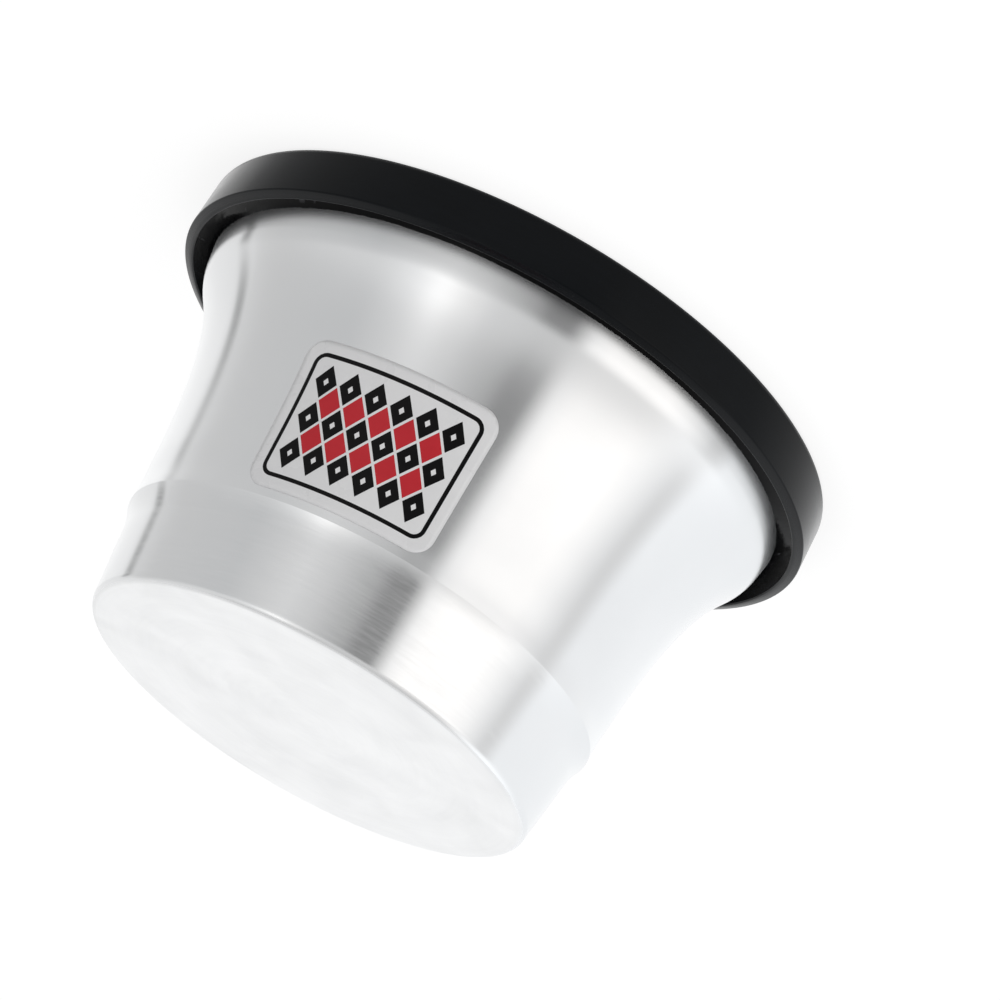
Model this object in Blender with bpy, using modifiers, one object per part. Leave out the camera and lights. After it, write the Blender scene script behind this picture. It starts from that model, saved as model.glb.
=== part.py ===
"""Plunger mute: a spun aluminium cup with a rubber edge ring, its bead of adhesive and a sticker.

The mute stands mouth down. The origin is the centre of the mouth plane and +Z points to the
closed crown. Every size is in metres, and every slope is in degrees from the mute's axis.
"""
from math import cos, pi, radians, sin, tan

import bmesh
import bpy
from mathutils import Vector, geometry

# Cup
CUP_HEIGHT = 0.0840  # mouth plane to the outside of the crown
RIM_RADIUS = 0.0630  # outside of the metal at its rim edge
WALL = 0.0012
CROWN_RADIUS = 0.04624  # where the crown and the base section would meet in a sharp corner
CROWN_BEND = 0.0003  # inside radius of the corner round the crown
BASE_SECTION = 0.0150  # straight section between the crown and the cove
BASE_SLOPE = 7.3
COVE_RADIUS = 0.0156  # the hollow round that carries the base section out to the shoulder
SHOULDER_SLOPE = 26.8  # the end of that round, where the shoulder's crisp line is
WAIST_SLOPE = 2.1  # the wall just past the shoulder
FLARE_SLOPE = 33.0  # the wall at its widest flare
WAIST_PULL = 0.73  # how far each end's slope carries into the flare, as a share of its height
FLARE_PULL = 0.10
RETURN_RADIUS = 0.0080  # the round that turns the flare back towards upright
RETURN_HEIGHT = 0.0135  # where that round ends
RETURN_SLOPE = 10.0  # the wall below it, down to its rim edge

# Rubber edge ring
TRIM_FIT = 0.0003  # clearance to the metal, all round the channel
TRIM_LEG = 0.0042  # outer leg, beside the metal's rim edge
TRIM_WEB = 0.0022  # rubber under the rim edge
TRIM_SKIRT = 0.0102  # height of the outer band
SKIRT_THICKNESS = 0.0022  # the outer leg above the recess's floor
LIP_RISE = 0.0008  # how much higher the end face is at the recess
RECESS_FLOOR = 0.0070
TRIM_DRAFT = 0.0004  # how much the band narrows towards the mouth
MOUTH_EDGE_RADIUS = 0.0012
INNER_LEG = 0.0020
INNER_LEG_HEIGHT = 0.0067
INNER_EDGE_RADIUS = 0.0007

# Bead of adhesive in the recess
BEAD_FIT = 0.0003  # clearance to the metal and to the rubber
BEAD_TOP = 0.0106  # where it climbs the metal
BEAD_EDGE = 0.0082  # where it meets the rubber
BEAD_HOLLOW = 0.0006  # how far its surface sinks between the two

# Sticker
LABEL_WIDTH = 0.0390  # round the wall
LABEL_HEIGHT = 0.0300
LABEL_CORNER = 0.0040
LABEL_THICKNESS = 0.0003
LABEL_FIT = 0.0003  # clearance to the metal
LABEL_CENTRE = 0.0472  # height above the mouth plane
LABEL_BEARING = -73.0  # degrees about +Z from +X

# Fineness
TURN_STEPS = 64
FLARE_PIECES = 10
ROUND_PIECES = 4
LABEL_COLUMNS = 12
LABEL_ROWS = 8
MERGE = 0.00001
SHARP_ANGLE = 24.0


def arc(centre, radius, start_angle, end_angle, pieces):
    """Points of an arc in the (radius, height) plane, both ends included."""
    turn = radians(end_angle - start_angle)
    angles = [radians(start_angle) + turn * step / pieces for step in range(pieces + 1)]
    return [centre + Vector((cos(angle), sin(angle))) * radius for angle in angles]


def outer_wall():
    """The outside of the cup as (radius, height) points, from the crown's centre to the rim edge."""
    base_tan = tan(radians(BASE_SLOPE))
    bend = WALL + CROWN_BEND
    bend_centre = Vector((CROWN_RADIUS - bend / cos(radians(BASE_SLOPE)) + bend * base_tan, CUP_HEIGHT - bend))
    points = [Vector((0.0, CUP_HEIGHT))]
    points += arc(bend_centre, bend, 90.0, BASE_SLOPE, ROUND_PIECES)

    cove_start = Vector((CROWN_RADIUS + BASE_SECTION * base_tan, CUP_HEIGHT - BASE_SECTION))
    outward = Vector((cos(radians(BASE_SLOPE)), sin(radians(BASE_SLOPE))))
    cove_centre = cove_start + outward * COVE_RADIUS
    points += arc(cove_centre, COVE_RADIUS, 180.0 + BASE_SLOPE, 180.0 + SHOULDER_SLOPE, ROUND_PIECES)

    rim_edge = Vector((RIM_RADIUS, TRIM_WEB + TRIM_FIT + WALL * sin(radians(RETURN_SLOPE))))
    return_tan = tan(radians(RETURN_SLOPE))
    return_end = Vector((RIM_RADIUS - (RETURN_HEIGHT - rim_edge.y) * return_tan, RETURN_HEIGHT))
    return_out = Vector((cos(radians(RETURN_SLOPE)), sin(radians(RETURN_SLOPE))))
    return_centre = return_end - return_out * RETURN_RADIUS
    rim_arc = arc(return_centre, RETURN_RADIUS, FLARE_SLOPE, RETURN_SLOPE, ROUND_PIECES)
    waist = points[-1]
    flare = rim_arc[0]
    height = waist.y - flare.y
    waist_way = Vector((sin(radians(WAIST_SLOPE)), -cos(radians(WAIST_SLOPE))))
    flare_way = Vector((sin(radians(FLARE_SLOPE)), -cos(radians(FLARE_SLOPE))))
    waist_handle = waist + waist_way * height * WAIST_PULL
    flare_handle = flare - flare_way * height * FLARE_PULL
    curve = geometry.interpolate_bezier(waist, waist_handle, flare_handle, flare, FLARE_PIECES + 1)
    points += [Vector(point[:2]) for point in curve[1:]]
    points += rim_arc[1:]
    return points + [rim_edge]


def moved_inward(points, distance):
    """The same profile a constant distance nearer the axis, with mitred corners."""
    normals = []
    for first, second in zip(points, points[1:]):
        way = (second - first).normalized()
        normals.append(Vector((way.y, -way.x)))
    moved = []
    for index, point in enumerate(points):
        before = normals[max(index - 1, 0)]
        after = normals[min(index, len(normals) - 1)]
        middle = (before + after).normalized()
        moved.append(point + middle * distance / middle.dot(after))
    return moved


def radius_at(points, height):
    """The profile's radius at a height, on the run from the crown to the rim."""
    for first, second in zip(points, points[1:]):
        if second.y <= height <= first.y and first.y > second.y:
            return first.x + (second.x - first.x) * (first.y - height) / (first.y - second.y)
    nearest = points[-1] if height < points[-1].y else points[0]
    return nearest.x


def trim_section(wall):
    """The rubber ring's closed section: down its outside, in across the mouth, up and round."""
    channel_outside = RIM_RADIUS + TRIM_FIT
    outside = channel_outside + TRIM_LEG
    land_outside = outside - TRIM_DRAFT
    recess_outside = outside - SKIRT_THICKNESS
    channel_top = radius_at(moved_inward(wall, -TRIM_FIT), RECESS_FLOOR)
    inner_wall = moved_inward(wall, WALL + TRIM_FIT)
    channel_inside = radius_at(inner_wall, TRIM_WEB + TRIM_FIT)
    leg_top = radius_at(inner_wall, INNER_LEG_HEIGHT)
    inside = leg_top - INNER_LEG

    section = [Vector((outside, TRIM_SKIRT))]
    mouth_centre = Vector((land_outside - MOUTH_EDGE_RADIUS, MOUTH_EDGE_RADIUS))
    section += arc(mouth_centre, MOUTH_EDGE_RADIUS, 0.0, -90.0, ROUND_PIECES)
    inner_centre = Vector((inside + INNER_EDGE_RADIUS, INNER_EDGE_RADIUS))
    section += arc(inner_centre, INNER_EDGE_RADIUS, -90.0, -180.0, ROUND_PIECES)
    top_centre = Vector((inside + INNER_EDGE_RADIUS, INNER_LEG_HEIGHT - INNER_EDGE_RADIUS))
    section += arc(top_centre, INNER_EDGE_RADIUS, 180.0, 90.0, ROUND_PIECES)
    section.append(Vector((leg_top, INNER_LEG_HEIGHT)))
    section.append(Vector((channel_inside, TRIM_WEB)))
    section.append(Vector((channel_outside, TRIM_WEB)))
    section.append(Vector((channel_top, RECESS_FLOOR)))
    section.append(Vector((recess_outside, RECESS_FLOOR)))
    section.append(Vector((recess_outside, TRIM_SKIRT + LIP_RISE)))
    return section


def bead_section(wall):
    """The adhesive's closed section: it fills the recess and climbs the metal."""
    outside = RIM_RADIUS + TRIM_FIT + TRIM_LEG - SKIRT_THICKNESS - BEAD_FIT
    foot = RECESS_FLOOR + BEAD_FIT
    metal_side = moved_inward(wall, -BEAD_FIT)
    inner = [Vector((radius_at(metal_side, height), height)) for height in (foot, BEAD_EDGE, BEAD_TOP)]
    edge = Vector((outside, BEAD_EDGE))
    across = inner[-1] - edge
    sunk = Vector((across.y, -across.x)).normalized() * BEAD_HOLLOW
    hollow = (edge + inner[-1]) / 2.0 - sunk
    return [edge, Vector((outside, foot))] + inner + [hollow]


def material(name, color, roughness, metallic):
    """A Principled material."""
    made = bpy.data.materials.new(name)
    made.use_nodes = True
    shader = made.node_tree.nodes["Principled BSDF"]
    shader.inputs["Base Color"].default_value = (*color, 1.0)
    shader.inputs["Roughness"].default_value = roughness
    shader.inputs["Metallic"].default_value = metallic
    made.diffuse_color = (*color, 1.0)
    return made


def turned(name, profile, closed, collection):
    """A profile in the XZ plane, turned about Z by a Screw modifier."""
    shape = bmesh.new()
    verts = [shape.verts.new((point.x, 0.0, point.y)) for point in profile]
    for first, second in zip(verts, verts[1:]):
        shape.edges.new((first, second))
    if closed:
        shape.edges.new((verts[-1], verts[0]))
    mesh = bpy.data.meshes.new(name)
    shape.to_mesh(mesh)
    shape.free()
    piece = bpy.data.objects.new(name, mesh)
    collection.objects.link(piece)
    screw = piece.modifiers.new("turn", "SCREW")
    screw.axis = "Z"
    screw.angle = 2.0 * pi
    screw.steps = TURN_STEPS
    screw.render_steps = TURN_STEPS
    screw.use_merge_vertices = True
    screw.merge_threshold = MERGE
    return piece


def thicken(piece, thickness, offset):
    """Gives an open surface its wall: offset -1 builds inwards, 1 outwards."""
    solid = piece.modifiers.new("wall", "SOLIDIFY")
    solid.thickness = thickness
    solid.offset = offset
    solid.use_even_offset = True


def wrapped_label(wall, collection):
    """A flat sticker with round corners, cut into strips and laid on the wall at +X."""
    shape = bmesh.new()
    bmesh.ops.create_grid(shape, x_segments=1, y_segments=1, size=0.5)
    bmesh.ops.scale(shape, vec=(LABEL_WIDTH, LABEL_HEIGHT, 1.0), verts=shape.verts)
    bmesh.ops.bevel(
        shape, geom=shape.verts[:], offset=LABEL_CORNER, offset_type="OFFSET", affect="VERTICES",
        segments=ROUND_PIECES, profile=0.5, material=-1,
    )
    for direction, size, count in (((1, 0, 0), LABEL_WIDTH, LABEL_COLUMNS), ((0, 1, 0), LABEL_HEIGHT, LABEL_ROWS)):
        for step in range(1, count):
            place = Vector(direction) * size * (step / count - 0.5)
            whole = shape.verts[:] + shape.edges[:] + shape.faces[:]
            bmesh.ops.bisect_plane(shape, geom=whole, dist=MERGE, plane_co=place, plane_no=direction)
    centre_radius = radius_at(wall, LABEL_CENTRE)
    for vert in shape.verts:
        height = LABEL_CENTRE + vert.co.y
        turn = vert.co.x / centre_radius
        radius = radius_at(wall, height) + LABEL_FIT
        vert.co = (radius * cos(turn), radius * sin(turn), height)
    mesh = bpy.data.meshes.new("label")
    shape.to_mesh(mesh)
    shape.free()
    piece = bpy.data.objects.new("label", mesh)
    collection.objects.link(piece)
    piece.rotation_euler.z = radians(LABEL_BEARING)
    return piece


def finish(piece, look, origin):
    """Applies the modifiers, shades the round faces smooth and hangs the piece on the origin."""
    graph = bpy.context.evaluated_depsgraph_get()
    mesh = bpy.data.meshes.new_from_object(piece.evaluated_get(graph))
    piece.modifiers.clear()
    piece.data = mesh
    mesh.name = piece.name
    mesh.shade_smooth()
    mesh.set_sharp_from_angle(angle=radians(SHARP_ANGLE))
    mesh.materials.clear()
    mesh.materials.append(look)
    piece.parent = origin


def build():
    """Builds the mute's four pieces."""
    for old in list(bpy.data.objects):
        bpy.data.objects.remove(old, do_unlink=True)
    parts = bpy.data.collections.new("plunger_mute")
    bpy.context.scene.collection.children.link(parts)
    origin = bpy.data.objects.new("mouth_centre", None)
    parts.objects.link(origin)

    wall = outer_wall()

    cup = turned("cup_shell", wall, False, parts)
    thicken(cup, WALL, -1.0)
    finish(cup, material("spun_aluminium", (0.80, 0.81, 0.82), 0.28, 1.0), origin)

    trim = turned("rim_trim", trim_section(wall), True, parts)
    finish(trim, material("black_rubber", (0.012, 0.012, 0.014), 0.42, 0.0), origin)

    bead = turned("trim_adhesive", bead_section(wall), True, parts)
    finish(bead, material("cured_adhesive", (0.10, 0.10, 0.11), 0.15, 0.0), origin)

    label = wrapped_label(wall, parts)
    thicken(label, LABEL_THICKNESS, 1.0)
    finish(label, material("label_vinyl", (0.86, 0.86, 0.86), 0.30, 0.0), origin)


build()
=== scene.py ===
"""Looks of the plunger mute: spun aluminium cup, rubber edge ring, adhesive bead and sticker."""
from math import cos, pi, radians, sin, tan

import bmesh
import bpy
from mathutils import Matrix, Vector, geometry, noise


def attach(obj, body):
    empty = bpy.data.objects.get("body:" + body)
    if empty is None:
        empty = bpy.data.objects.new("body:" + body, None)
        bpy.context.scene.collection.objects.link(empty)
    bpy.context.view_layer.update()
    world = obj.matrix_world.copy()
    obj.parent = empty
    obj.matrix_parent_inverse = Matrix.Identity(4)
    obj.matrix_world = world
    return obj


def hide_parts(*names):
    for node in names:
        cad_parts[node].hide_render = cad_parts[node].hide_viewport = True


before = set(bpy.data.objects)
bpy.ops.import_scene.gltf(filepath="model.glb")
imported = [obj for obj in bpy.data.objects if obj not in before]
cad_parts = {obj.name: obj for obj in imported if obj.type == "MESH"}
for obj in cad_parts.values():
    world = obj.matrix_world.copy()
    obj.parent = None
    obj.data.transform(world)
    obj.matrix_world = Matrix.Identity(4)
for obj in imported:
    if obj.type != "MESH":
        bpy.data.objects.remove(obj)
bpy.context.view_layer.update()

# Cup, in metres and in degrees from the mute's axis
CUP_HEIGHT = 0.0840  # mouth plane to the outside of the crown
RIM_RADIUS = 0.0630  # outside of the metal at its rim edge
RIM_EDGE = 0.0027  # the rim edge's height above the mouth plane
WALL = 0.0012
CROWN_RADIUS = 0.04624  # where the crown and the base section would meet in a sharp corner
CROWN_CORNER = 0.0015
FACED_DEPTH = 0.0003  # how far the crown's finish reaches down its corner
BASE_SECTION = 0.0150  # straight section between the crown and the cove
BASE_SLOPE = 7.3
COVE_RADIUS = 0.0156  # the hollow round that carries the base section out to the shoulder
SHOULDER_SLOPE = 26.8
WAIST_SLOPE = 2.1
FLARE_SLOPE = 33.0
WAIST_PULL = 0.73  # how far each end's slope carries into the flare, as a share of its height
FLARE_PULL = 0.10
RETURN_RADIUS = 0.0080  # the round that turns the flare back towards upright
RETURN_HEIGHT = 0.0135  # where that round ends
RETURN_SLOPE = 10.0  # the wall below it, down to its rim edge
NECK_DEPTH = 0.00014  # the slight hollow past the shoulder
NECK_RUN = 0.0100
HOLDING_EDGE = 0.00012  # short flats beside corners, which keep the shading of the long faces true
TURN_STEPS = 256
CORNER_STEPS = 12
COVE_STEPS = 14
RETURN_STEPS = 16
FLARE_STEPS = 48
SHOULDER_SHARP = 22.0  # degrees between faces past which an edge stays sharp
MOULDED_SHARP = 35.0
BEAD_SHARP = 50.0
COARSE_START = (0.0637, 0.0642)  # heights over which the base section's coarser marks come in
COARSE_END = (0.0826, 0.0834)  # and go out again, below the crown's corner

# Rubber edge ring
BAND_RADIUS = 0.0675
BAND_TOP = 0.0102
BAND_DRAFT = 0.0004  # how much the band narrows towards the mouth
BAND_ROUND = 0.00035
MOUTH_ROUND = 0.00130
LIP_RADIUS = 0.0653  # the recess's side of the band
LIP_TOP = 0.0110
LIP_ROUND = 0.00030
RECESS_FLOOR = 0.0070
CHANNEL_FIT = 0.00005  # clearance to the metal rim in the channel
CHANNEL_FLOOR = 0.0022
CHANNEL_ROUND = 0.00015
INNER_LEG_TOP = 0.0067
INNER_LEG_INSIDE = 0.0578
INNER_FOOT_ROUND = 0.00080
INNER_TOP_ROUND = 0.00070
CHANNEL_MOUTH_ROUND = 0.00025
RING_ROUND_STEPS = 8
RUBBED_HEIGHT = (0.0003, 0.0014)  # the mouth edge, rubbed dull by the bell
DULL_LIP = (0.0105, 0.0108)  # heights over which the end face gets duller

# Bead of adhesive in the ring's recess
BEAD_FOOT = 0.0071
BEAD_FOOT_CHAMFER = 0.0004
BEAD_EDGE = 0.0080  # where it meets the rubber
BEAD_TOP = 0.0106  # where it climbs the metal; its near-black up here is partly painted shade for the dark recess
BEAD_HOLLOW = 0.0007  # how far its open face sinks between the two
BEAD_SINK_IN = 0.6  # the way it sinks: towards the axis and down
BEAD_SINK_DOWN = 0.8
BEAD_FACE_STEPS = 12
BEAD_SKIN = 0.0007  # depth below the line from edge to edge that still counts as the open face
BEAD_RIPPLE = 0.00018
BEAD_BURIED = 0.0003  # overlap with the metal
BEAD_BITE = 0.0001  # overlap with the rubber
LONG_RIPPLE = (34.0, 260.0)  # waves round the ring, and per metre of height
SHORT_RIPPLE = (90.0, 180.0)
SHORT_RIPPLE_SHARE = 0.3
STREAK_HEIGHT = (0.0088, 0.0094)  # the pale streaks stay below these heights

# Sticker
LABEL_WIDTH = 0.0390  # round the wall
LABEL_HEIGHT = 0.0300
LABEL_CORNER = 0.0040
LABEL_CENTRE = 0.0472  # height above the mouth plane
LABEL_BEARING = -73.0  # degrees about +Z from +X
LABEL_CELL = 0.0010  # grid that the sticker is cut in, so that it can follow the wall
FILM_GAP = 0.00002
FILM_THICKNESS = 0.00014
INK_LIFT = 0.000012  # height of each layer of ink
KEYLINE_MARGIN = 0.0023
KEYLINE_WIDTH = 0.0008
KEYLINE_CORNER = 0.0024
FIELD_GAP = 0.0008
LOZENGE_COLUMNS = 6
LOZENGE_ROWS = 3
LOZENGE_GAP = 0.0006
DIAMOND_SHARE = 0.24  # the small diamond in each dark lozenge

# The photograph's camera
CAMERA_PLACE = (-0.01069, -0.75264, 0.31826)
CAMERA_RIGHT = (-0.86602, -0.18124, -0.46600)
CAMERA_UP = (0.50000, -0.31391, -0.80713)
CAMERA_BACK = (0.0, -0.93199, 0.36247)
CAMERA_LENS = 151.2  # millimetres
CAMERA_SENSOR = 36.0
CAMERA_BEARING = -90.82  # degrees about +Z from +X

# Studio round the mute: degrees clockwise from the camera, brightness and warmth
LOW_PANELS = [
    # pale backdrop on the left, to its near edge
    (-180, 1.02, 0.0), (-150, 0.85, 0.0), (-125, 0.775, 0.0),
    # grey wall on the left
    (-120, 0.64, 0.0), (-110, 0.59, 0.0), (-64, 0.545, -0.01),
    # soft fill left of the camera, fading to the dark behind it
    (-44, 0.65, 0.0), (-34, 0.70, 0.0), (-22, 0.61, 0.0), (-4, 0.365, 0.0),
    (2, 0.20, 0.0), (11, 0.20, 0.0),
    # bright warm panel on the right
    (19.5, 1.05, 0.01), (27, 1.20, 0.02), (54, 1.24, 0.02), (64, 1.10, 0.01),
    # gap between the panels
    (74, 0.86, 0.0), (79, 0.70, 0.0), (83, 0.72, 0.0),
    # cool panel on the far right, joining the backdrop
    (90, 0.975, -0.014), (150, 0.94, -0.015), (180, 1.02, 0.0),
]
HIGH_PANELS = [
    # backdrop and left wall
    (-180, 1.00, 0.0), (-150, 0.90, 0.0), (-132, 0.78, 0.0), (-110, 0.74, 0.0), (-70, 0.76, 0.0),
    # lamp above the camera's left
    (-52, 1.04, 0.0), (-41, 1.44, 0.01), (-31, 1.03, 0.01), (-18, 0.76, 0.0),
    # plain ceiling edge
    (4, 0.68, 0.0), (33, 0.76, 0.01), (60, 0.76, 0.01),
    # cool panel on the right and backdrop
    (80, 1.05, 0.0), (95, 1.20, -0.01), (125, 1.14, -0.02), (150, 0.96, -0.01), (180, 1.00, 0.0),
]
FLOOR_PANELS = [
    # white sweep behind the mute
    (-180, 1.10, 0.0), (-160, 1.50, 0.0), (-140, 1.35, 0.0), (-128, 0.95, 0.0),
    # table in front
    (-118, 0.66, 0.0), (-50, 0.62, 0.0), (30, 0.76, 0.0), (80, 0.66, 0.0),
    # sweep again
    (110, 0.84, 0.0), (160, 1.36, 0.0), (180, 1.10, 0.0),
]
# Heights above the horizon, in degrees, over which one level of the studio gives way to the next
FLOOR_FADE = (-36.0, -8.0)
HIGH_FADE = (18.5, 32.0)
OVERHEAD_FADE = (46.0, 66.0)
OVERHEAD_LEVEL = 0.60
# The narrow dark gap between backdrop and left wall: its place, reach and top, in degrees
GAP_BEARING = -127.4
GAP_REACH = 4.2
GAP_CORE = 0.4
GAP_FADE = (-3.0, 8.0)
GAP_LEVEL = 0.22
FLOOR_SIZE = 3.0
FLOOR_GAP = 0.00002  # how far the floor lies under the mouth land
FLOOR_SHADED = 0.28  # the part of the floor's white that takes the shadow
FLOOR_GLOW = 0.80  # and the part that doesn't
FLOOR_PALE = 0.85  # the floor as the mute's underside sees it


def arc(centre, radius, start_angle, end_angle, pieces):
    """Points of an arc in the (radius, height) plane, both ends included."""
    turn = radians(end_angle - start_angle)
    angles = [radians(start_angle) + turn * step / pieces for step in range(pieces + 1)]
    return [centre + Vector((cos(angle), sin(angle))) * radius for angle in angles]


def slope_way(slope):
    """The way down a wall that leans outward by a slope, in degrees from the axis."""
    return Vector((sin(radians(slope)), -cos(radians(slope))))


def rounded(corners, pieces):
    """A closed outline from (x, y, corner radius) rows, each corner drawn as an arc."""
    points = []
    for index, (x, y, radius) in enumerate(corners):
        corner = Vector((x, y))
        before = (Vector(corners[index - 1][:2]) - corner).normalized()
        after = (Vector(corners[(index + 1) % len(corners)][:2]) - corner).normalized()
        half = before.angle(after) / 2.0
        centre = corner + (before + after).normalized() * radius / sin(half)
        start = corner + before * radius / tan(half) - centre
        end = corner + after * radius / tan(half) - centre
        for step in range(pieces + 1):
            points.append(centre + start.lerp(end, step / pieces).normalized() * radius)
    return points


def outer_wall():
    """The outside of the cup as (radius, height) points, from the crown's centre to the rim edge."""
    base_lean = radians(BASE_SLOPE)
    corner_x = CROWN_RADIUS - CROWN_CORNER / cos(base_lean) + CROWN_CORNER * tan(base_lean)
    corner = arc(Vector((corner_x, CUP_HEIGHT - CROWN_CORNER)), CROWN_CORNER, 90.0, BASE_SLOPE, CORNER_STEPS)
    points = [Vector((0.0, CUP_HEIGHT)), Vector((corner[0].x - HOLDING_EDGE, CUP_HEIGHT))] + corner
    points.append(corner[-1] + slope_way(BASE_SLOPE) * HOLDING_EDGE)

    cove_start = Vector((CROWN_RADIUS + BASE_SECTION * tan(base_lean), CUP_HEIGHT - BASE_SECTION))
    cove_centre = cove_start + Vector((cos(base_lean), sin(base_lean))) * COVE_RADIUS
    cove = arc(cove_centre, COVE_RADIUS, 180.0 + BASE_SLOPE, 180.0 + SHOULDER_SLOPE, COVE_STEPS)
    shoulder = cove[-1]
    points += cove[:-1]
    points.append(shoulder - slope_way(SHOULDER_SLOPE) * HOLDING_EDGE)
    points.append(shoulder)

    rim_edge = Vector((RIM_RADIUS, RIM_EDGE))
    rim_way = slope_way(RETURN_SLOPE)
    return_end = rim_edge - rim_way * (RETURN_HEIGHT - RIM_EDGE) / cos(radians(RETURN_SLOPE))
    return_centre = return_end - rim_way.orthogonal() * RETURN_RADIUS
    rim_arc = arc(return_centre, RETURN_RADIUS, FLARE_SLOPE, RETURN_SLOPE, RETURN_STEPS)
    flare = rim_arc[0]
    height = shoulder.y - flare.y
    waist_handle = shoulder + slope_way(WAIST_SLOPE) * height * WAIST_PULL
    flare_handle = flare - slope_way(FLARE_SLOPE) * height * FLARE_PULL
    curve = geometry.interpolate_bezier(shoulder, waist_handle, flare_handle, flare, FLARE_STEPS + 1)
    points.append(shoulder + slope_way(WAIST_SLOPE) * HOLDING_EDGE)
    for point in curve[1:]:
        past = min((shoulder.y - point.y) / NECK_RUN, 1.0)
        points.append(Vector((point.x - NECK_DEPTH * 2.0 * sin(pi * past) * (1.0 - past), point.y)))
    return points + rim_arc[1:] + [rim_edge - rim_way * HOLDING_EDGE, rim_edge]


def radius_at(points, height):
    """The profile's radius at a height, on the run from the crown to the rim."""
    for first, second in zip(points, points[1:]):
        if second.y <= height <= first.y and first.y > second.y:
            return first.x + (second.x - first.x) * (first.y - height) / (first.y - second.y)
    return points[-1].x


def to_piece(name, shape):
    """Turns a finished bmesh into an object of the scene."""
    mesh = bpy.data.meshes.new(name)
    shape.to_mesh(mesh)
    shape.free()
    piece = bpy.data.objects.new(name, mesh)
    bpy.context.scene.collection.objects.link(piece)
    return piece


def spun(profile, closed):
    """A profile in the XZ plane, turned once round Z into a bmesh."""
    shape = bmesh.new()
    verts = [shape.verts.new((point.x, 0.0, point.y)) for point in profile]
    for first, second in zip(verts, verts[1:]):
        shape.edges.new((first, second))
    if closed:
        shape.edges.new((verts[-1], verts[0]))
    bmesh.ops.spin(
        shape, geom=shape.verts[:] + shape.edges[:], cent=(0, 0, 0), axis=(0, 0, 1),
        angle=2.0 * pi, steps=TURN_STEPS, use_merge=True,
    )
    bmesh.ops.remove_doubles(shape, verts=shape.verts, dist=0.000002)
    bmesh.ops.recalc_face_normals(shape, faces=shape.faces)
    return shape


def smooth(piece, angle):
    """Smooth shading, with edges sharper than the angle kept."""
    piece.data.shade_smooth()
    piece.data.set_sharp_from_angle(angle=radians(angle))


def add_wall(piece, thickness, offset):
    """Gives an open surface its thickness: offset -1 builds inwards, 1 outwards."""
    solid = piece.modifiers.new("wall", "SOLIDIFY")
    solid.thickness = thickness
    solid.offset = offset
    solid.use_even_offset = True
    return solid


def spun_cup(wall):
    """The aluminium cup: its outside, given its wall inwards. The crown's flat has its own finish."""
    piece = to_piece("spun_cup", spun(wall, False))
    crown = max(piece.data.polygons, key=lambda face: face.center.z)
    if crown.normal.z < 0:
        piece.data.flip_normals()
    for face in piece.data.polygons:
        if face.center.z > CUP_HEIGHT - FACED_DEPTH:
            face.material_index = 2
    smooth(piece, SHOULDER_SHARP)
    solid = add_wall(piece, WALL, -1.0)
    solid.material_offset = 1
    return piece


def rubber_edge(wall):
    """The rubber ring: band, mouth land, inner leg, channel for the metal rim, recess and lip."""
    gap = CHANNEL_FIT / cos(radians(RETURN_SLOPE))
    through = WALL / cos(radians(RETURN_SLOPE)) + gap
    corners = [
        (BAND_RADIUS, BAND_TOP, BAND_ROUND),
        (BAND_RADIUS - BAND_DRAFT, 0.0, MOUTH_ROUND),
        (INNER_LEG_INSIDE, 0.0, INNER_FOOT_ROUND),
        (INNER_LEG_INSIDE, INNER_LEG_TOP, INNER_TOP_ROUND),
        (radius_at(wall, INNER_LEG_TOP) - through, INNER_LEG_TOP, CHANNEL_MOUTH_ROUND),
        (RIM_RADIUS - through, CHANNEL_FLOOR, CHANNEL_ROUND),
        (RIM_RADIUS + gap, CHANNEL_FLOOR, CHANNEL_ROUND),
        (radius_at(wall, RECESS_FLOOR) + gap, RECESS_FLOOR, CHANNEL_ROUND),
        (LIP_RADIUS, RECESS_FLOOR, LIP_ROUND),
        (LIP_RADIUS, LIP_TOP, LIP_ROUND),
    ]
    piece = to_piece("rubber_edge", spun(rounded(corners, RING_ROUND_STEPS), True))
    smooth(piece, MOULDED_SHARP)
    return piece


def adhesive_bead(wall):
    """The cured adhesive in the recess, its open face sunk between metal and rubber and rippled."""
    edge = Vector((LIP_RADIUS + BEAD_BITE, BEAD_EDGE))
    metal_edge = Vector((radius_at(wall, BEAD_TOP) - BEAD_BURIED, BEAD_TOP))
    face = []
    for step in range(BEAD_FACE_STEPS + 1):
        share = step / BEAD_FACE_STEPS
        sunk = BEAD_HOLLOW * sin(pi * share)
        face.append(edge.lerp(metal_edge, share) - Vector((sunk * BEAD_SINK_IN, sunk * BEAD_SINK_DOWN)))
    inner = []
    for share in (0.25, 0.5, 0.75, 1.0):
        height = BEAD_TOP + (BEAD_FOOT - BEAD_TOP) * share
        inner.append(Vector((radius_at(wall, height) - BEAD_BURIED, height)))
    foot = Vector((LIP_RADIUS - LIP_ROUND, BEAD_FOOT))
    side = Vector((LIP_RADIUS + BEAD_BITE, BEAD_FOOT + BEAD_FOOT_CHAMFER))
    shape = spun(face + inner + [foot, side], True)
    for vert in shape.verts:
        radius = vert.co.xy.length
        across = (radius - metal_edge.x) / (edge.x - metal_edge.x)
        lowest = metal_edge.y + (edge.y - metal_edge.y) * across - BEAD_SKIN
        if 0.02 < across < 0.98 and vert.co.z > lowest:
            way = Vector((vert.co.x / radius, vert.co.y / radius, 0.0))
            ripple = noise.noise(way * LONG_RIPPLE[0] + Vector((0, 0, vert.co.z * LONG_RIPPLE[1])))
            short = noise.noise(way * SHORT_RIPPLE[0] + Vector((5, 1, vert.co.z * SHORT_RIPPLE[1])))
            ripple += SHORT_RIPPLE_SHARE * short
            vert.co.z += BEAD_RIPPLE * ripple * sin(pi * across)
    piece = to_piece("adhesive_bead", shape)
    smooth(piece, BEAD_SHARP)
    return piece


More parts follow.
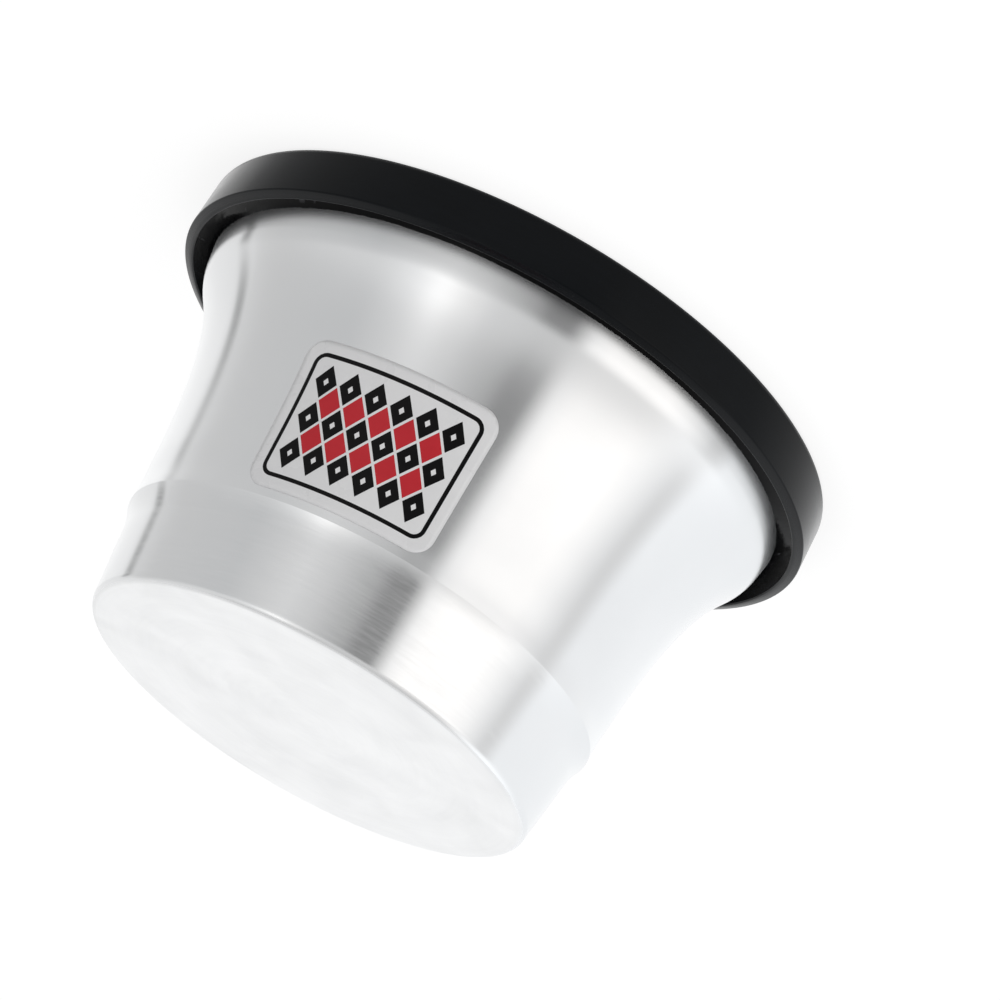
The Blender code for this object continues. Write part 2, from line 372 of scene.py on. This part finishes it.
def cut_in_cells(shape, width, height):
    """Cuts a flat shape along the sticker's grid, so that it can follow the wall."""
    for direction, size in (((1, 0, 0), width), ((0, 1, 0), height)):
        count = round(size / LABEL_CELL)
        for step in range(1, count):
            place = Vector(direction) * size * (step / count - 0.5)
            whole = shape.verts[:] + shape.edges[:] + shape.faces[:]
            bmesh.ops.bisect_plane(shape, geom=whole, dist=0.000001, plane_co=place, plane_no=direction)


def lay_on_wall(shape, wall, lift):
    """Wraps a flat shape round the wall at the sticker's place, a small height above the metal."""
    centre_radius = radius_at(wall, LABEL_CENTRE)
    for vert in shape.verts:
        height = LABEL_CENTRE + vert.co.y
        turn = radians(LABEL_BEARING) + vert.co.x / centre_radius
        radius = radius_at(wall, height) + lift
        vert.co = (radius * cos(turn), radius * sin(turn), height)


def sticker_film(wall):
    """The sticker's white film: a flat rectangle with round corners, cut and laid on the wall."""
    shape = bmesh.new()
    bmesh.ops.create_grid(shape, x_segments=1, y_segments=1, size=0.5)
    bmesh.ops.scale(shape, vec=(LABEL_WIDTH, LABEL_HEIGHT, 1.0), verts=shape.verts)
    bmesh.ops.bevel(
        shape, geom=shape.verts[:], offset=LABEL_CORNER, offset_type="OFFSET", affect="VERTICES",
        segments=10, profile=0.5, material=-1,
    )
    cut_in_cells(shape, LABEL_WIDTH, LABEL_HEIGHT)
    lay_on_wall(shape, wall, FILM_GAP)
    piece = to_piece("sticker_film", shape)
    smooth(piece, MOULDED_SHARP)
    add_wall(piece, FILM_THICKNESS, 1.0)
    return piece


def lozenge(shape, x, y, share):
    """A flat diamond, a share of the full lozenge's size."""
    width, height = field_cell()
    half_width = (width - LOZENGE_GAP) / 2.0 * share
    half_height = half_width * height / width
    places = ((half_width, 0.0), (0.0, half_height), (-half_width, 0.0), (0.0, -half_height))
    shape.faces.new([shape.verts.new((x + out, y + up, 0.0)) for out, up in places])


def round_rectangle(margin, corner):
    """The outline of a rectangle with round corners, a margin inside the film's edge."""
    half_width = LABEL_WIDTH / 2.0 - margin
    half_height = LABEL_HEIGHT / 2.0 - margin
    ways = ((1, 1), (-1, 1), (-1, -1), (1, -1))
    return rounded([(out * half_width, up * half_height, corner) for out, up in ways], 6)


def keyline(shape):
    """The dark line round the lozenge pattern."""
    outside = round_rectangle(KEYLINE_MARGIN, KEYLINE_CORNER)
    inside = round_rectangle(KEYLINE_MARGIN + KEYLINE_WIDTH, KEYLINE_CORNER - KEYLINE_WIDTH)
    outer = [shape.verts.new((*point, 0.0)) for point in outside]
    inner = [shape.verts.new((*point, 0.0)) for point in inside]
    for index in range(len(outer)):
        shape.faces.new((outer[index - 1], outer[index], inner[index], inner[index - 1]))


def sticker_print(name, wall, places, share, lift, framed=False):
    """One colour of the sticker's lozenge pattern, printed on the film."""
    shape = bmesh.new()
    for x, y in places:
        lozenge(shape, x, y, share)
    if framed:
        keyline(shape)
    bmesh.ops.recalc_face_normals(shape, faces=shape.faces)
    if sum(face.normal.z for face in shape.faces) < 0:
        bmesh.ops.reverse_faces(shape, faces=shape.faces)
    cut_in_cells(shape, LABEL_WIDTH, LABEL_HEIGHT)
    lay_on_wall(shape, wall, FILM_GAP + FILM_THICKNESS + lift)
    piece = to_piece(name, shape)
    smooth(piece, MOULDED_SHARP)
    return piece


def field_cell():
    """Width and height of one full lozenge of the pattern inside the keyline."""
    edge = 2.0 * (KEYLINE_MARGIN + KEYLINE_WIDTH + FIELD_GAP)
    return (LABEL_WIDTH - edge) / LOZENGE_COLUMNS, (LABEL_HEIGHT - edge) / LOZENGE_ROWS


def lozenge_places():
    """Centres of the dark rows and of the red rows between them, in sticker coordinates."""
    width, height = field_cell()
    dark = []
    red = []
    for row in range(2 * LOZENGE_ROWS - 1):
        y = (row - LOZENGE_ROWS + 1) * height / 2.0
        count = LOZENGE_COLUMNS - row % 2
        for column in range(count):
            x = (column - (count - 1) / 2.0) * width
            (red if row % 2 else dark).append((x, y))
    return dark, red


def add_node(tree, kind, settings=None, **inputs):
    """A node with its settings and the values or links of its inputs."""
    node = tree.nodes.new(kind)
    for name, value in (settings or {}).items():
        setattr(node, name, value)
    for name, value in inputs.items():
        socket = node.inputs[int(name[1:])] if name[0] == "i" and name[1:].isdigit() else None
        socket = socket or node.inputs[name.replace("_", " ")]
        if isinstance(value, bpy.types.NodeSocket):
            tree.links.new(value, socket)
        else:
            socket.default_value = value
    return node


def maths(tree, operation, *values):
    """A Math node's result."""
    inputs = {f"i{index}": value for index, value in enumerate(values)}
    return add_node(tree, "ShaderNodeMath", {"operation": operation}, **inputs).outputs[0]


def remap(tree, value, low, high, to_low, to_high, kind="LINEAR"):
    """A Map Range node's result."""
    node = add_node(tree, "ShaderNodeMapRange", {"interpolation_type": kind}, i0=value)
    for index, number in enumerate((low, high, to_low, to_high)):
        node.inputs[index + 1].default_value = number
    return node.outputs[0]


def mixed_color(tree, factor, first, second):
    """A Mix node's colour."""
    node = add_node(tree, "ShaderNodeMix", {"data_type": "RGBA"}, i0=factor)
    for socket, value in ((node.inputs[6], first), (node.inputs[7], second)):
        if isinstance(value, bpy.types.NodeSocket):
            tree.links.new(value, socket)
        else:
            socket.default_value = (*value, 1.0)
    return node.outputs[2]


def new_group(name, inputs, outputs):
    """An empty node group with float and vector sockets, and its two ends."""
    tree = bpy.data.node_groups.new(name, "ShaderNodeTree")
    for socket, default in inputs:
        kind = "NodeSocketVector" if default is None else "NodeSocketFloat"
        made = tree.interface.new_socket(socket, in_out="INPUT", socket_type=kind)
        if default is not None:
            made.default_value = default
    for socket in outputs:
        tree.interface.new_socket(socket, in_out="OUTPUT", socket_type="NodeSocketFloat")
    return tree, tree.nodes.new("NodeGroupInput"), tree.nodes.new("NodeGroupOutput")


def turned_marks_group():
    """Fine grooves round the mute's axis: noise drawn out along the circumference."""
    inputs = [("Coordinates", None), ("Grooves per metre", 2400.0), ("Runs round", 2.5), ("Detail", 3.0)]
    tree, start, end = new_group("turned_marks", inputs, ["Marks"])
    parts = add_node(tree, "ShaderNodeSeparateXYZ", i0=start.outputs["Coordinates"])
    x, y, z = parts.outputs
    squares = maths(tree, "ADD", maths(tree, "MULTIPLY", x, x), maths(tree, "MULTIPLY", y, y))
    reach = maths(tree, "SQRT", squares)
    radius = maths(tree, "MAXIMUM", reach, 0.0002)
    runs = start.outputs["Runs round"]
    round_x = maths(tree, "MULTIPLY", maths(tree, "DIVIDE", x, radius), runs)
    round_y = maths(tree, "MULTIPLY", maths(tree, "DIVIDE", y, radius), runs)
    down = maths(tree, "SUBTRACT", reach, z)
    along = maths(tree, "MULTIPLY", down, start.outputs["Grooves per metre"])
    place = add_node(tree, "ShaderNodeCombineXYZ", i0=round_x, i1=round_y, i2=along)
    grooves = add_node(
        tree, "ShaderNodeTexNoise", Vector=place.outputs[0], Scale=1.0,
        Detail=start.outputs["Detail"], Roughness=0.62,
    )
    tree.links.new(grooves.outputs[0], end.inputs["Marks"])
    return tree


def soft_mottle_group():
    """Large soft patches, for handling, cast and cure differences."""
    inputs = [("Coordinates", None), ("Patches per metre", 60.0), ("Contrast", 1.0)]
    tree, start, end = new_group("soft_mottle", inputs, ["Patches"])
    patches = add_node(
        tree, "ShaderNodeTexNoise", Vector=start.outputs["Coordinates"],
        Scale=start.outputs["Patches per metre"], Detail=3.0, Roughness=0.55, Distortion=0.4,
    )
    centred = maths(tree, "SUBTRACT", patches.outputs[0], 0.5)
    spread = maths(tree, "MULTIPLY", centred, start.outputs["Contrast"])
    tree.links.new(maths(tree, "ADD", spread, 0.5), end.inputs["Patches"])
    return tree


def fine_grain_group():
    """Even fine grain, for moulded rubber and printed film."""
    inputs = [("Coordinates", None), ("Grains per metre", 3000.0)]
    tree, start, end = new_group("fine_grain", inputs, ["Grain"])
    grain = add_node(
        tree, "ShaderNodeTexNoise", Vector=start.outputs["Coordinates"],
        Scale=start.outputs["Grains per metre"], Detail=2.0, Roughness=0.5,
    )
    tree.links.new(grain.outputs[0], end.inputs["Grain"])
    return tree


def new_material(name):
    """A material with its Principled shader and its Object coordinates."""
    made = bpy.data.materials.new(name)
    made.use_nodes = True
    tree = made.node_tree
    shader = tree.nodes["Principled BSDF"]
    place = add_node(tree, "ShaderNodeTexCoord").outputs["Object"]
    return made, tree, shader, place


def use_group(tree, group, place, **inputs):
    """A node group placed in a material."""
    return add_node(tree, "ShaderNodeGroup", {"node_tree": group}, Coordinates=place, **inputs).outputs[0]


def spun_metal(name, light, dark, roughness, pitch, depth):
    """Spun aluminium: grooves round the axis, coarser on the base section, and soft patches."""
    made, tree, shader, place = new_material(name)
    fine = use_group(tree, MARKS, place, Grooves_per_metre=pitch, Runs_round=3.0, Detail=1.5)
    coarse = use_group(tree, MARKS, place, Grooves_per_metre=pitch * 0.8, Runs_round=7.0, Detail=2.5)
    patches = use_group(tree, MOTTLE, place, Patches_per_metre=55.0, Contrast=1.4)
    height = add_node(tree, "ShaderNodeSeparateXYZ", i0=place).outputs[2]
    above_shoulder = remap(tree, height, *COARSE_START, 0.0, 1.0)
    below_crown = remap(tree, height, *COARSE_END, 1.0, 0.0)
    base = maths(tree, "MULTIPLY", above_shoulder, below_crown)
    mixed = add_node(tree, "ShaderNodeMix", {"data_type": "FLOAT"}, i0=base, i2=fine, i3=coarse)
    marks = mixed.outputs[0]
    strength = maths(tree, "ADD", maths(tree, "MULTIPLY", base, 1.1), 0.25)
    streaks = maths(tree, "MULTIPLY", maths(tree, "SUBTRACT", marks, 0.5), strength)
    clouds = maths(tree, "MULTIPLY", maths(tree, "SUBTRACT", patches, 0.5), 0.35)
    shade = maths(tree, "SUBTRACT", clouds, maths(tree, "MULTIPLY", streaks, 0.35))
    color = mixed_color(tree, remap(tree, shade, -0.5, 0.5, 0.0, 1.0), dark, light)
    tree.links.new(color, shader.inputs["Base Color"])
    rough = maths(tree, "SUBTRACT", roughness, maths(tree, "MULTIPLY", streaks, 0.13))
    rough = maths(tree, "SUBTRACT", rough, maths(tree, "MULTIPLY", clouds, 0.08))
    tree.links.new(rough, shader.inputs["Roughness"])
    bump = add_node(tree, "ShaderNodeBump", Strength=0.5, Distance=depth, Height=marks)
    tree.links.new(bump.outputs[0], shader.inputs["Normal"])
    tangent = add_node(tree, "ShaderNodeTangent", {"direction_type": "RADIAL", "axis": "Z"})
    tree.links.new(tangent.outputs[0], shader.inputs["Tangent"])
    shader.inputs["Metallic"].default_value = 1.0
    shader.inputs["Anisotropic"].default_value = 1.0
    shader.inputs["Anisotropic Rotation"].default_value = 0.25
    return made


def faced_metal():
    """The crown's flat: satin, with the faint rings of facing, small dents and rubbed patches."""
    made, tree, shader, place = new_material("faced_crown")
    rings = use_group(tree, MARKS, place, Grooves_per_metre=900.0, Runs_round=1.5, Detail=2.0)
    patches = use_group(tree, MOTTLE, place, Patches_per_metre=70.0, Contrast=1.6)
    dents = use_group(tree, MOTTLE, place, Patches_per_metre=240.0, Contrast=1.0)
    patches = maths(tree, "MULTIPLY", patches, 0.65)
    shade = maths(tree, "ADD", maths(tree, "MULTIPLY", rings, 0.35), patches)
    share = remap(tree, shade, 0.3, 0.7, 0.0, 1.0)
    color = mixed_color(tree, share, (0.93, 0.935, 0.94), (0.975, 0.98, 0.985))
    tree.links.new(color, shader.inputs["Base Color"])
    tree.links.new(remap(tree, shade, 0.3, 0.7, 0.50, 0.42), shader.inputs["Roughness"])
    bump = add_node(tree, "ShaderNodeBump", Strength=0.5, Distance=0.00006, Height=dents)
    tree.links.new(bump.outputs[0], shader.inputs["Normal"])
    shader.inputs["Metallic"].default_value = 1.0
    return made


def black_rubber():
    """Moulded rubber: near black, with a soft sheen, fine grain and a few paler handled patches."""
    made, tree, shader, place = new_material("black_rubber")
    patches = use_group(tree, MOTTLE, place, Patches_per_metre=38.0, Contrast=1.6)
    grain = use_group(tree, GRAIN, place, Grains_per_metre=2600.0)
    drawn = use_group(tree, MARKS, place, Grooves_per_metre=900.0, Runs_round=9.0, Detail=3.0)
    tone = maths(tree, "ADD", maths(tree, "MULTIPLY", patches, 0.6), maths(tree, "MULTIPLY", drawn, 0.4))
    share = remap(tree, tone, 0.35, 0.75, 0.0, 1.0)
    color = mixed_color(tree, share, (0.0006, 0.0013, 0.0022), (0.0022, 0.0033, 0.0048))
    tree.links.new(color, shader.inputs["Base Color"])
    height = add_node(tree, "ShaderNodeSeparateXYZ", i0=place).outputs[2]
    rubbed = remap(tree, height, *RUBBED_HEIGHT, 0.40, 0.0)
    lip = remap(tree, height, *DULL_LIP, 0.0, 0.20)
    moulded = remap(tree, tone, 0.3, 0.7, 0.13, 0.22)
    rough = maths(tree, "ADD", moulded, maths(tree, "ADD", rubbed, lip))
    tree.links.new(rough, shader.inputs["Roughness"])
    bump = add_node(tree, "ShaderNodeBump", Strength=0.4, Distance=0.000006, Height=grain)
    tree.links.new(bump.outputs[0], shader.inputs["Normal"])
    shader.inputs["Specular IOR Level"].default_value = 0.14
    return made


def cured_adhesive():
    """Cured contact adhesive: wet looking, slightly wrinkled, with paler drawn streaks. Its near-black is
    partly its own colour and partly painted shade that keeps the recess dark.
    """
    made, tree, shader, place = new_material("cured_adhesive")
    patches = use_group(tree, MOTTLE, place, Patches_per_metre=120.0, Contrast=1.5)
    wrinkles = use_group(tree, GRAIN, place, Grains_per_metre=700.0)
    drawn = use_group(tree, MARKS, place, Grooves_per_metre=160.0, Runs_round=26.0, Detail=2.0)
    height = add_node(tree, "ShaderNodeSeparateXYZ", i0=place).outputs[2]
    low = remap(tree, height, *STREAK_HEIGHT, 1.0, 0.0)
    streaks = maths(tree, "MULTIPLY", remap(tree, drawn, 0.64, 0.72, 0.0, 1.0), low)
    # Near-black: partly the adhesive's own colour, partly painted shade for the recess between rubber and
    # metal
    color = mixed_color(tree, patches, (0.0006, 0.0006, 0.0009), (0.002, 0.002, 0.0023))
    tree.links.new(mixed_color(tree, streaks, color, (0.055, 0.055, 0.06)), shader.inputs["Base Color"])
    tree.links.new(remap(tree, patches, 0.3, 0.7, 0.10, 0.22), shader.inputs["Roughness"])
    bump = add_node(tree, "ShaderNodeBump", Strength=0.5, Distance=0.00005, Height=wrinkles)
    tree.links.new(bump.outputs[0], shader.inputs["Normal"])
    shader.inputs["Specular IOR Level"].default_value = 0.08
    return made


def printed_film(name, light, dark, roughness, gloss):
    """Semi-gloss printed vinyl: a faint mottle in its colour and a fine skin."""
    made, tree, shader, place = new_material(name)
    patches = use_group(tree, MOTTLE, place, Patches_per_metre=160.0, Contrast=1.3)
    grain = use_group(tree, GRAIN, place, Grains_per_metre=4200.0)
    tree.links.new(mixed_color(tree, patches, dark, light), shader.inputs["Base Color"])
    rough = remap(tree, patches, 0.3, 0.7, roughness - 0.04, roughness + 0.04)
    tree.links.new(rough, shader.inputs["Roughness"])
    bump = add_node(tree, "ShaderNodeBump", Strength=0.25, Distance=0.00001, Height=grain)
    tree.links.new(bump.outputs[0], shader.inputs["Normal"])
    shader.inputs["Specular IOR Level"].default_value = gloss
    return made


def grey(level):
    """A plain grey."""
    return level, level, level


def panel_ramp(tree, around, panels):
    """The studio's panels at one height: a colour ramp over the degrees round the mute."""
    ramp = add_node(tree, "ShaderNodeValToRGB", i0=around)
    stops = ramp.color_ramp.elements
    for index, (degrees_round, level, warmth) in enumerate(panels):
        place = (degrees_round + 180.0) / 360.0
        stop = stops[index] if index < 2 else stops.new(place)
        stop.position = place
        stop.color = (level * (1.0 + warmth), level, level * (1.0 - warmth), 1.0)
    return ramp.outputs[0]


def height_fade(tree, height, fade, to_low, to_high, kind="LINEAR"):
    """A mask over heights above the horizon, from a direction's height on the unit sphere."""
    low, high = (sin(radians(angle)) for angle in fade)
    return remap(tree, height, low, high, to_low, to_high, kind)


def studio_world():
    """Soft panels all round, darker gaps between them, and plain white for the camera."""
    world = bpy.data.worlds.new("studio")
    world.use_nodes = True
    tree = world.node_tree
    way = add_node(tree, "ShaderNodeTexCoord").outputs["Generated"]
    x, y, z = add_node(tree, "ShaderNodeSeparateXYZ", i0=way).outputs
    turned = maths(tree, "SUBTRACT", radians(CAMERA_BEARING), maths(tree, "ARCTAN2", y, x))
    around = remap(tree, maths(tree, "WRAP", turned, pi, -pi), -pi, pi, 0.0, 1.0)
    off_gap = maths(tree, "ABSOLUTE", maths(tree, "SUBTRACT", around, (GAP_BEARING + 180.0) / 360.0))
    gap = remap(tree, off_gap, GAP_REACH * GAP_CORE / 360.0, GAP_REACH / 360.0, 1.0, 0.0)
    gap = maths(tree, "MULTIPLY", gap, height_fade(tree, z, GAP_FADE, 1.0, 0.0))
    low = mixed_color(tree, gap, panel_ramp(tree, around, LOW_PANELS), grey(GAP_LEVEL))
    below = panel_ramp(tree, around, FLOOR_PANELS)
    high = panel_ramp(tree, around, HIGH_PANELS)
    sink = height_fade(tree, z, FLOOR_FADE, 1.0, 0.0, "SMOOTHSTEP")
    rise = height_fade(tree, z, HIGH_FADE, 0.0, 1.0, "SMOOTHSTEP")
    overhead = height_fade(tree, z, OVERHEAD_FADE, 0.0, 1.0, "SMOOTHSTEP")
    sides = mixed_color(tree, rise, mixed_color(tree, sink, low, below), high)
    studio = mixed_color(tree, overhead, sides, grey(OVERHEAD_LEVEL))
    camera_ray = add_node(tree, "ShaderNodeLightPath").outputs["Is Camera Ray"]
    seen = mixed_color(tree, camera_ray, studio, (1.0, 1.0, 1.0))
    tree.links.new(seen, tree.nodes["Background"].inputs["Color"])
    bpy.context.scene.world = world


def studio_floor():
    """A plain pale floor: white to the camera, and it keeps the mute's soft shadow."""
    shape = bmesh.new()
    bmesh.ops.create_grid(shape, x_segments=1, y_segments=1, size=FLOOR_SIZE)
    piece = to_piece("floor", shape)
    made = bpy.data.materials.new("pale_floor")
    made.use_nodes = True
    tree = made.node_tree
    tree.nodes.clear()
    camera_ray = add_node(tree, "ShaderNodeLightPath").outputs["Is Camera Ray"]
    seen = add_node(
        tree, "ShaderNodeAddShader",
        i0=add_node(tree, "ShaderNodeBsdfDiffuse", Color=(*grey(FLOOR_SHADED), 1.0)).outputs[0],
        i1=add_node(tree, "ShaderNodeEmission", Strength=FLOOR_GLOW).outputs[0],
    ).outputs[0]
    plain = add_node(tree, "ShaderNodeBsdfDiffuse", Color=(*grey(FLOOR_PALE), 1.0)).outputs[0]
    mix = add_node(tree, "ShaderNodeMixShader", i0=camera_ray, i1=plain, i2=seen)
    add_node(tree, "ShaderNodeOutputMaterial", Surface=mix.outputs[0])
    piece.data.materials.append(made)
    piece.data.transform(Matrix.Translation((0.0, 0.0, -FLOOR_GAP)))
    piece.visible_glossy = False


def soft_lamp(name, place, target, size, power):
    """A square soft lamp that faces a point."""
    lamp = bpy.data.lights.new(name, "AREA")
    lamp.size = size
    lamp.energy = power
    piece = bpy.data.objects.new(name, lamp)
    bpy.context.scene.collection.objects.link(piece)
    piece.location = place
    piece.rotation_euler = (Vector(place) - Vector(target)).to_track_quat("Z", "Y").to_euler()
    piece.visible_glossy = False


def photo_camera():
    """The camera at the photograph's viewing angle."""
    camera = bpy.data.objects.new("camera", bpy.data.cameras.new("camera"))
    bpy.context.scene.collection.objects.link(camera)
    turn = Matrix((CAMERA_RIGHT, CAMERA_UP, CAMERA_BACK)).transposed().to_4x4()
    camera.matrix_world = Matrix.Translation(CAMERA_PLACE) @ turn
    camera.data.lens = CAMERA_LENS
    camera.data.sensor_width = CAMERA_SENSOR
    camera.data.clip_end = 20.0
    bpy.context.scene.camera = camera


def dress(piece, node, slot, *looks):
    """Rides a piece on the body in a node's stead, with its materials. The slot, its finish's name, is not
    used.
    """
    for look in looks:
        piece.data.materials.append(look)
    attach(piece, "root")
    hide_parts(node)


MARKS = turned_marks_group()
MOTTLE = soft_mottle_group()
GRAIN = fine_grain_group()

wall = outer_wall()
dark_places, red_places = lozenge_places()

bright_metal = spun_metal(
    "spun_aluminium", light=(0.95, 0.955, 0.96), dark=(0.86, 0.87, 0.88), roughness=0.22,
    pitch=2200.0, depth=0.0000025,
)
dull_metal = spun_metal(
    "spun_inside", light=(0.82, 0.825, 0.83), dark=(0.68, 0.69, 0.70), roughness=0.38,
    pitch=1500.0, depth=0.000010,
)
dress(spun_cup(wall), "cup_shell", "aluminium", bright_metal, dull_metal, faced_metal(), dull_metal)
dress(rubber_edge(wall), "rim_trim", "rubber", black_rubber())
dress(adhesive_bead(wall), "trim_adhesive", "adhesive", cured_adhesive())

white_film = printed_film(
    "label_vinyl", light=(0.76, 0.76, 0.765), dark=(0.70, 0.70, 0.71), roughness=0.30, gloss=0.5,
)
black_ink = printed_film(
    "label_black", light=(0.0035, 0.003, 0.0035), dark=(0.0015, 0.0015, 0.002), roughness=0.32,
    gloss=0.15,
)
red_ink = printed_film(
    "label_red", light=(0.54, 0.018, 0.028), dark=(0.46, 0.012, 0.022), roughness=0.32, gloss=0.3,
)
film = sticker_film(wall)
dark_rows = sticker_print("sticker_dark", wall, dark_places, 1.0, INK_LIFT, framed=True)
red_rows = sticker_print("sticker_red", wall, red_places, 1.0, INK_LIFT)
diamonds = sticker_print("sticker_diamonds", wall, dark_places, DIAMOND_SHARE, 2.0 * INK_LIFT)
dress(film, "label", "label", white_film)
dress(dark_rows, "label", "label", black_ink)
dress(red_rows, "label", "label", red_ink)
dress(diamonds, "label", "label", white_film)

studio_world()
studio_floor()
soft_lamp("key", place=(-0.75, -0.80, 0.85), target=(0.0, 0.0, 0.04), size=0.7, power=3.0)
photo_camera()
bpy.context.scene.view_settings.view_transform = "Standard"
